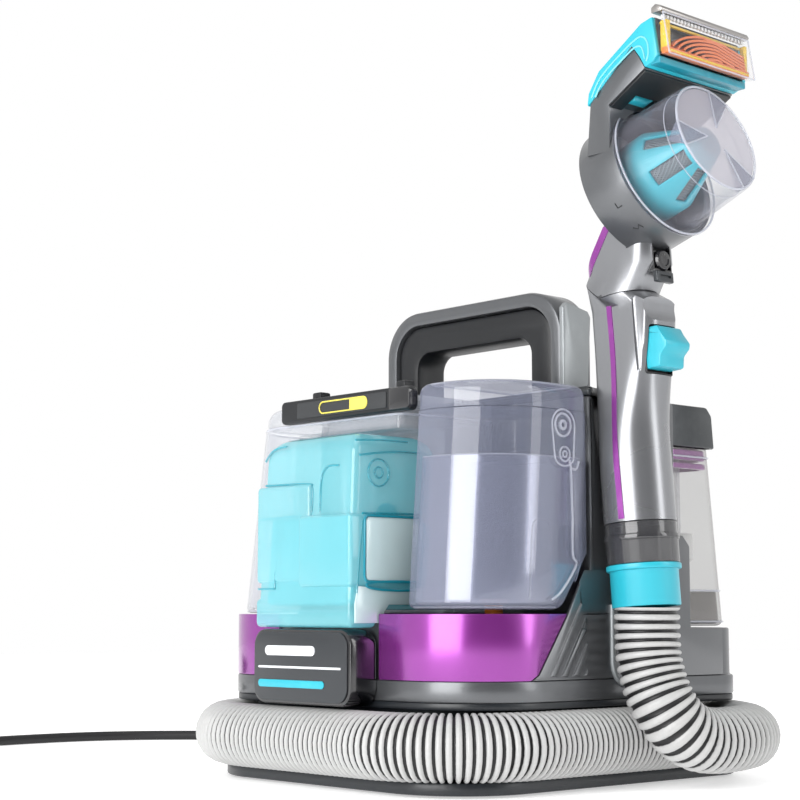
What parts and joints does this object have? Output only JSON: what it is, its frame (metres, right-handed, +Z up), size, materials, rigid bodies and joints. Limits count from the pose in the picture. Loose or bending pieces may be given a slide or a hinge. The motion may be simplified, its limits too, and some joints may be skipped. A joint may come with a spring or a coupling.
{
  "type": "portable carpet cleaner",
  "caption": "Portable carpet and upholstery cleaner with clear front tanks, a rear recovery tank, a suction hose stored round the base and a docked hand tool.",
  "frame": {"origin": "middle of the object's box on the surface it stands on, the mains lead, its coil and plug left out", "axes": "+Z up, -Y towards the front with the badge and the solution pod, +X towards the side where the wand is docked"},
  "size_m": [0.7042, 0.4165, 0.4205],
  "materials": {
    "dark_base": "moulded, fine grain",
    "rubber": "matte",
    "grey_metallic": "satin metallic paint on plastic",
    "grey_dark": "satin",
    "purple": "metallic gloss",
    "black_gloss": "piano gloss",
    "black_soft": "soft touch",
    "hose_grey": "flexible corrugated",
    "cyan": "satin moulded",
    "cyan_clear": "tinted clear plastic",
    "clear": "clear plastic",
    "clear_blue": "clear plastic with water",
    "smoke": "smoked clear plastic",
    "orange": "moulded",
    "yellow": "moulded",
    "silver": "brushed",
    "mesh": "fine woven mesh",
    "white": "moulded",
    "motor": "pressed steel",
    "cord_black": "flexible lead"
  },
  "bodies": {
    "root": {"base_plate": "dark_base", "feet": "rubber", "hose_channel": "dark_base", "body_shell": "grey_metallic", "purple_band_right": "purple", "purple_band_left": "purple", "badge_box": "black_gloss", "badge_plate": "grey_dark", "side_panel_right": "grey_metallic", "side_panel_left": "grey_metallic", "tower_shell": "grey_metallic", "top_cover": "grey_dark", "handle_shell": "grey_metallic", "handle_grip": "black_soft", "suction_hose": "hose_grey", "hose_inlet": "dark_base", "hose_cuff": "cyan", "hose_connector": "smoke", "wand_body": "grey_metallic", "wand_stripe": "purple", "motor_can": "motor", "bearings": "motor", "pump": "dark_base", "cord_gland": "cord_black", "cord": "cord_black", "cord_coil": "cord_black", "plug": "cord_black", "screws": "silver"},
    "trigger": {"trigger": "cyan"},
    "tool": {"tool_neck": "grey_metallic", "neck_stripe": "purple", "tool_shell": "grey_dark", "tool_frame": "cyan", "nozzle_window": "clear", "nozzle_lip": "silver", "brush_frame": "yellow", "brush_fins": "orange", "tool_latch": "cyan", "cone_filter": "cyan", "filter_mesh": "mesh"},
    "release_button": {"release_button": "black_soft"},
    "hair_cup": {"hair_cup": "clear"},
    "formula_pod": {"formula_pod": "cyan_clear", "pod_plug": "cyan"},
    "left_tank": {"left_tank": "clear", "left_tank_lid": "clear", "latch_bar": "black_gloss", "tank_latches": "black_soft"},
    "right_tank": {"right_tank": "clear_blue", "right_tank_lid": "clear_blue"},
    "tank_valve": {"tank_valve": "orange"},
    "recovery_tank": {"recovery_tank": "smoke"},
    "recovery_lid": {"recovery_lid": "grey_dark", "recovery_gasket": "purple", "float_guide": "clear"},
    "float": {"float": "white"},
    "power_button": {"power_button": "black_soft"},
    "impeller": {"impeller": "motor"},
    "cord_hook": {"cord_hook": "black_soft"}
  },
  "joints": [
    {"name": "trigger_pull", "type": "hinge", "parent": "root", "child": "trigger", "pos_m": [0.10844, -0.0005, 0.24738], "axis": [0, 1, 0], "range_deg": [0, 8], "stiffness_Nm_per_rad": 0.2, "springref_deg": -5.73},
    {"name": "tool_pull", "type": "slide", "parent": "root", "child": "tool", "axis": [-0.0785, 0, 0.9969], "range_m": [0, 0.024]},
    {"name": "release_press", "type": "slide", "parent": "tool", "child": "release_button", "axis": [-0.9969, 0, -0.0785], "range_m": [0, 0.0025], "stiffness_N_per_m": 300, "springref_m": -0.002},
    {"name": "cup_twist", "type": "hinge", "parent": "tool", "child": "hair_cup", "pos_m": [0.1194, -0.0005, 0.3383], "axis": [0.9511, 0, 0.309], "range_deg": [0, 30]},
    {"name": "pod_pull", "type": "slide", "parent": "root", "child": "formula_pod", "axis": [0, -1, 0], "range_m": [0, 0.06]},
    {"name": "left_tank_lift", "type": "slide", "parent": "root", "child": "left_tank", "axis": [0, 0, 1], "range_m": [0, 0.06]},
    {"name": "right_tank_lift", "type": "slide", "parent": "root", "child": "right_tank", "axis": [0, 0, 1], "range_m": [0, 0.06]},
    {"name": "valve_press", "type": "slide", "parent": "right_tank", "child": "tank_valve", "axis": [0, 0, 1], "range_m": [0, 0.004], "stiffness_N_per_m": 100, "springref_m": -0.003},
    {"name": "recovery_tank_lift", "type": "slide", "parent": "root", "child": "recovery_tank", "axis": [0, 0, 1], "range_m": [0, 0.06]},
    {"name": "recovery_lid_lift", "type": "slide", "parent": "recovery_tank", "child": "recovery_lid", "axis": [0, 0, 1], "range_m": [0, 0.03]},
    {"name": "float_rise", "type": "slide", "parent": "recovery_lid", "child": "float", "axis": [0, 0, 1], "range_m": [0, 0.04]},
    {"name": "power_press", "type": "slide", "parent": "root", "child": "power_button", "axis": [0, 0, -1], "range_m": [0, 0.002], "stiffness_N_per_m": 500, "springref_m": -0.002},
    {"name": "impeller_spin", "type": "hinge", "parent": "root", "child": "impeller", "pos_m": [-0.0749, 0.0155, 0.14], "axis": [0, 0, 1], "continuous": true},
    {"name": "cord_hook_turn", "type": "hinge", "parent": "root", "child": "cord_hook", "pos_m": [-0.1519, 0.0225, 0.18], "axis": [1, 0, 0], "range_deg": [0, 180]}
  ]
}
